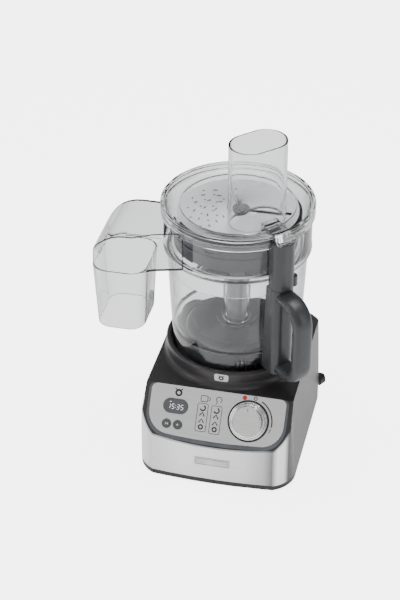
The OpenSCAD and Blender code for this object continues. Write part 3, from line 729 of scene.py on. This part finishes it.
# a jug over the first guide and a whisk over the second
lines.append(ribbon(frame_path(-18.6, 55.4, 4.6, 3.9, 1.6), 1.0))
lines.append(ribbon(arc(-12.6, 55.6, 2.2, -90, 90, 10), 0.9, closed=False))
lines.append(ribbon(arc(1.2, 56.4, 3.7, -60, 240, 18), 1.0, closed=False))
lines.append(ribbon([(-0.6, 53.2), (-2.4, 49.8)], 0.8, closed=False))
# the weighing mark: a pan on a round foot
lines.append(ribbon(arc(-54, 58.6, 3.6, 0, 345, 24), 2.6))
lines.append(ribbon([(-59.2, 64.2), (-56.4, 62.2), (-51.6, 62.2), (-48.8, 64.2)], 1.4, closed=False))
# the speed scale beside the knob
lines.append(ribbon(arc(KNOB_X, KNOB_Y, 31.4, 62, -8, 30), 1.7, closed=False))
place(on_panel(joined(lines)), "printed_marks", "print_black", "base", "black_plastic")
place(on_panel(ribbon(arc(KNOB_X, KNOB_Y, DIAL_R, -12, -22, 6), 1.3, closed=False)), "scale_end",
      "print_blue", "base", "trim_grey")
stamp("off_dot", bar_item(24, 0.3), [(*round_knob(DIAL_R, OFF_AT), 0, 0, 6.2, 6.2)],
      PANEL, "print_red", "base", "button_grey")
place(on_panel(ribbon(arc(*round_knob(DIAL_R, PULSE_AT), 2.1, 0, 345, 20), 1.3)), "pulse_ring",
      "trim_grey", "base", "trim_grey")

# %% Button marks
BUTTON_Y, BUTTON_TOP = 16.2, 1.85
stamp("button_marks", bar_item(height=0.12),
      [(-66.4, BUTTON_Y, BUTTON_TOP, 0, 0.8, 3.2), (-64.9, BUTTON_Y, BUTTON_TOP, 0, 1.6, 0.8),
       (-63.4, BUTTON_Y, BUTTON_TOP, 0, 0.8, 3.2)],
      PANEL, "print_white", "left_button", "label_silver")
stamp("button_bar", bar_item(height=0.12),
      [(-50.2, BUTTON_Y, BUTTON_TOP, turn, 3.2, 0.9) for turn in (0, 90)],
      PANEL, "print_white", "right_button", "label_silver")
print("printed marks on the plate and buttons")

# %% The label on the lip, the blank plate's border and the knob's pointer
TAG = Matrix.Translation((0, -95.75 * MM, 139.6 * MM)) @ Matrix.Rotation(math.pi / 2, 4, "X")
tag_lines = joined([ribbon(arc(0, -0.4, 2.5, 0, 345, 24), 1.9),
                    ribbon([(-3.9, 3.6), (-2.2, 2.4), (2.2, 2.4), (3.9, 3.6)], 0.9, closed=False)])
tag_lines.transform(TAG @ Matrix.Diagonal((MM, MM, MM, 1)))
place(tag_lines, "tag_mark", "print_black", "base", "black_plastic")

HALF_W, HALF_H, LINE = 22, 4.6, 0.5
BOW = 0.7878  # radius of the bowed front, in metres
level = [ribbon([(HALF_W * t / 12, h) for t in range(-12, 13)], LINE, closed=False)
         for h in (-HALF_H, HALF_H)]
upright = [ribbon([(x, -HALF_H), (x, HALF_H)], LINE, closed=False) for x in (-HALF_W, HALF_W)]
border = joined(level + upright)
border.transform(Matrix.Translation((0, -150.8 * MM, 39 * MM)) @ Matrix.Rotation(math.pi / 2, 4, "X")
                 @ Matrix.Diagonal((MM, MM, MM, 1)))
for v in border.vertices:
    v.co.y += v.co.x ** 2 / (2 * BOW)
place(border, "plate_border", "shaft_grey", "base", "trim_grey")

stamp("knob_pointer", bar_item(height=0.15), [(KNOB_X, KNOB_Y + 15.2, 17.38, 0, 1.1, 3.2)],
      PANEL, "print_black", "knob", "black_plastic")

# %% [markdown]
# ## The slicing disc's teeth
# One half of the disc carries small raised teeth. They sit on rings about the drive axis, each turned
# to lie along its ring, so the same stamping tree places them all.

# %% Teeth on the disc
teeth = []
for r, count in ((30, 4), (44, 6), (58, 7)):
    for i in range(count):
        a = math.radians(112 + 130 * i / (count - 1))
        teeth.append((r * math.cos(a), r * math.sin(a), 343.5, math.degrees(a) + 62, 6.4, 2.2))
FLAT = Matrix.Identity(4)
# painted shade: the teeth are steel like the disc, drawn dark grey to stand in for the dark edges round the
# dimples
stamp("disc_teeth", bar_item(20, 0.7), teeth, FLAT, "shaft_grey", "rotor", "brushed_steel")
print("disc teeth:", len(teeth))

# %% [markdown]
# ## Floor and light
# One large soft lamp hangs overhead, with a weak tall one at each side. The world is bright above and in
# front and has dark bands between, which chrome and clear plastic show as lines. The floor is lit white to
# the eye alone; for every other ray it glows faintly.

# %% Stage and floor
floor_mesh = bpy.data.meshes.new("floor")
SIDE, NEAR, FAR = 9, -7, 14
corners = [(-SIDE, NEAR, 0), (SIDE, NEAR, 0), (SIDE, FAR, 0), (-SIDE, FAR, 0)]
floor_mesh.from_pydata(corners, [], [(0, 1, 2, 3)])
floor = bpy.data.objects.new("floor", floor_mesh)
bpy.context.scene.collection.objects.link(floor)
pale, shader, tree, add = new_material("pale_floor")
shader.inputs["Base Color"].default_value = (0.86, 0.86, 0.86, 1)
shader.inputs["Roughness"].default_value = 0.8
shader.inputs["Emission Color"].default_value = (1, 1, 1, 1)
rays = add("ShaderNodeLightPath")
glow = add("ShaderNodeMapRange", [("Value", rays.outputs["Is Camera Ray"])], To_Min=0.75, To_Max=4.5)
tree.links.new(glow.outputs["Result"], shader.inputs["Emission Strength"])
floor_mesh.materials.append(pale)


# %% World and lamps
world = bpy.data.worlds.new("studio")
world.use_nodes = True
bpy.context.scene.world = world
sky = world.node_tree
direction = sky.nodes.new("ShaderNodeTexCoord")
parts = sky.nodes.new("ShaderNodeSeparateXYZ")
around = sky.nodes.new("ShaderNodeMath")
around.operation = "ARCTAN2"
turn = sky.nodes.new("ShaderNodeMapRange")
turn.inputs["From Min"].default_value = -math.pi
turn.inputs["From Max"].default_value = math.pi
panels = sky.nodes.new("ShaderNodeValToRGB")
sky.links.new(direction.outputs["Generated"], parts.inputs[0])
sky.links.new(parts.outputs["Y"], around.inputs[0])
sky.links.new(parts.outputs["X"], around.inputs[1])
sky.links.new(around.outputs[0], turn.inputs["Value"])
sky.links.new(turn.outputs["Result"], panels.inputs["Fac"])
# going round from the left: soft box, gap, front fill, dark flag, right soft box, dim back
tones = [(0.0, 0.9), (0.12, 0.12), (0.17, 0.9), (0.28, 0.85), (0.36, 0.05), (0.46, 0.3), (0.54, 0.3),
         (0.62, 0.08), (0.85, 0.1), (0.93, 0.9), (1.0, 0.9)]
set_tones(panels.color_ramp, tones)
# the ceiling is bright whatever the direction
ceiling = sky.nodes.new("ShaderNodeMapRange")
ceiling.inputs["From Min"].default_value = 0.6
ceiling.inputs["From Max"].default_value = 0.95
blend = sky.nodes.new("ShaderNodeMix")
blend.data_type = "RGBA"
blend.inputs[7].default_value = (0.95, 0.95, 0.95, 1)
sky.links.new(parts.outputs["Z"], ceiling.inputs["Value"])
sky.links.new(ceiling.outputs["Result"], blend.inputs[0])
sky.links.new(panels.outputs["Color"], blend.inputs[6])
sky.links.new(blend.outputs[2], sky.nodes["Background"].inputs["Color"])
sky.nodes["Background"].inputs["Strength"].default_value = 0.8


def soft_lamp(name, location, target, width, height, power):
    """An area lamp that looks at a point."""
    data = bpy.data.lights.new(name, "AREA")
    data.shape = "RECTANGLE"
    data.size, data.size_y = width, height
    data.energy = power
    lamp = bpy.data.objects.new(name, data)
    bpy.context.scene.collection.objects.link(lamp)
    lamp.location = location
    lamp.rotation_mode = "QUATERNION"
    lamp.rotation_quaternion = (Vector(target) - Vector(location)).to_track_quat("-Z", "Y")
    return lamp


lamps = [soft_lamp("overhead", (0.1, 0.3, 2.0), (0, 0, 0.2), 1.4, 1.0, 26),
         soft_lamp("right_side", (1.5, -0.6, 0.8), (0, 0, 0.15), 0.5, 1.2, 4),
         soft_lamp("left_side", (-1.4, -0.9, 1.0), (0, 0, 0.2), 0.8, 1.0, 7)]
print("lamps:", len(lamps))
